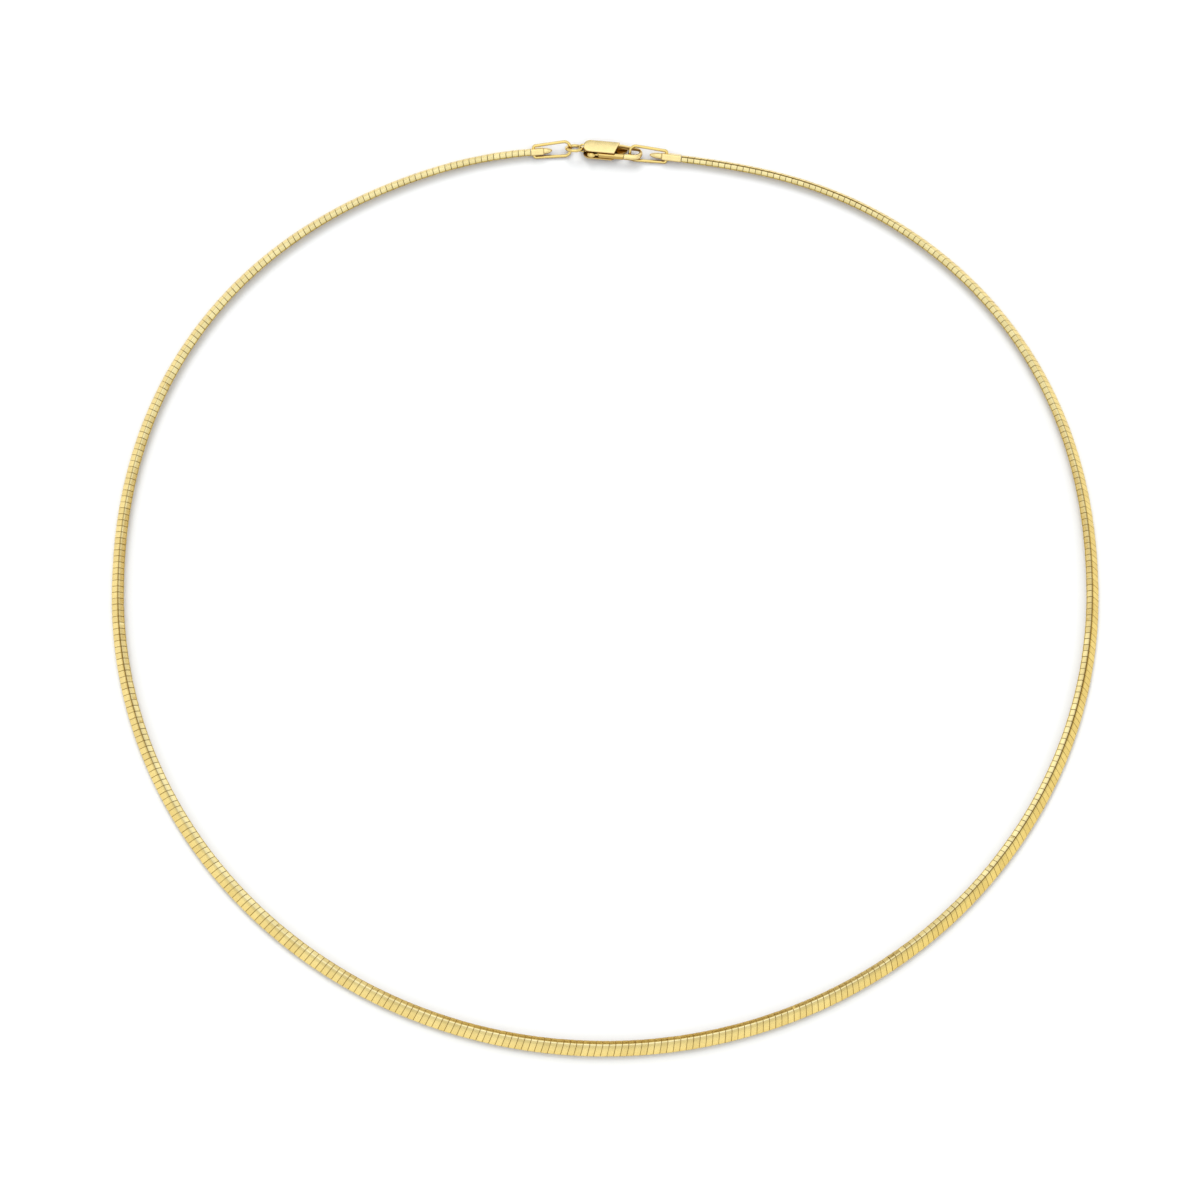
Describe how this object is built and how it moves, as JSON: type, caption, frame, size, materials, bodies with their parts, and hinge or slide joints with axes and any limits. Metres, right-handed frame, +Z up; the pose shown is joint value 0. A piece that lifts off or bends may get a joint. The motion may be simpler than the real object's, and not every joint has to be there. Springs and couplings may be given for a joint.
{
  "type": "omega necklace",
  "caption": "Omega necklace lying flat as a closed loop: tapering band of close-set polished plates, end caps, stirrup links, jump ring and sprung claw clasp.",
  "frame": {"origin": "middle of the loop's outer box, on the surface the necklace lies on", "axes": "+Z up, away from that surface; +Y from the widest part of the band towards the clasp; +X to the right, seen from above with the clasp at the far side"},
  "size_m": [0.148, 0.1455, 0.0024],
  "materials": {
    "plates": "polished",
    "cap_gold": "polished",
    "wire_gold": "polished",
    "clasp_gold": "polished"
  },
  "bodies": {
    "necklace": {"band": "plates", "left_cap": "cap_gold", "right_cap": "cap_gold", "left_link": "wire_gold", "right_link": "wire_gold", "jump_ring": "wire_gold", "clasp_body": "clasp_gold"},
    "lever": {"clasp_lever": "clasp_gold"}
  },
  "joints": [
    {"name": "lever_pivot", "type": "hinge", "parent": "necklace", "child": "lever", "pos_m": [-0.00069, 0.07078, 0.00128], "axis": [0.0328, 0.3404, 0.9397], "range_deg": [0, 18], "stiffness_Nm_per_rad": 0.0002, "springref_deg": -28.65}
  ]
}
